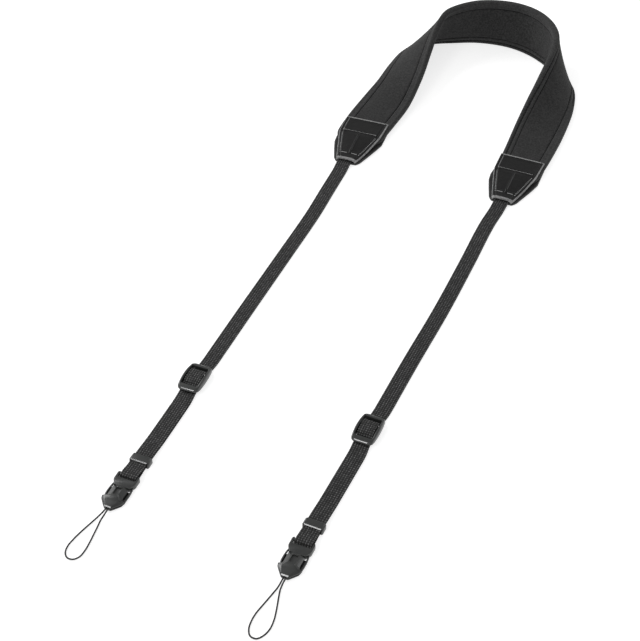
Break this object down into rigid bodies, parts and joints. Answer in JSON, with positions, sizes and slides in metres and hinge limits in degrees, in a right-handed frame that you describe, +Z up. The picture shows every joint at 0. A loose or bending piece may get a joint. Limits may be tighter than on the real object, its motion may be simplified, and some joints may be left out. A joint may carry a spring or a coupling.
{
  "type": "camera neck strap",
  "caption": "Padded camera neck strap with leather tabs, webbing straps with sliders and small side-release buckles on thin cord loops, lying on a surface.",
  "frame": {"origin": "on the surface that the strap lies on, under the middle of the strap's plan outline without its cord loops", "axes": "+Z up from the surface, +Y towards the arched middle of the neck pad, +X to the right leg with the neck pad at the far end"},
  "size_m": [0.1488, 0.5723, 0.0383],
  "materials": {
    "neoprene": "matt fine knit over a soft core",
    "edge_binding": "matt stretch tape",
    "tab_leather": "smooth, slightly glossy, grey cut edges",
    "webbing": "ribbed nylon weave",
    "plastic": "satin moulded nylon",
    "cord": "tightly braided thread"
  },
  "bodies": {
    "root": {"neck_pad": "neoprene", "outer_edge_binding": "edge_binding", "inner_edge_binding": "edge_binding", "left_tab_front": "tab_leather", "left_tab_back": "tab_leather", "right_tab_front": "tab_leather", "right_tab_back": "tab_leather", "left_webbing": "webbing", "right_webbing": "webbing", "left_slider": "plastic", "right_slider": "plastic", "left_keeper": "plastic", "right_keeper": "plastic", "left_buckle_body": "plastic", "right_buckle_body": "plastic", "left_buckle_cap": "plastic", "right_buckle_cap": "plastic", "left_cord_loop": "cord", "right_cord_loop": "cord"}
  },
  "joints": []
}
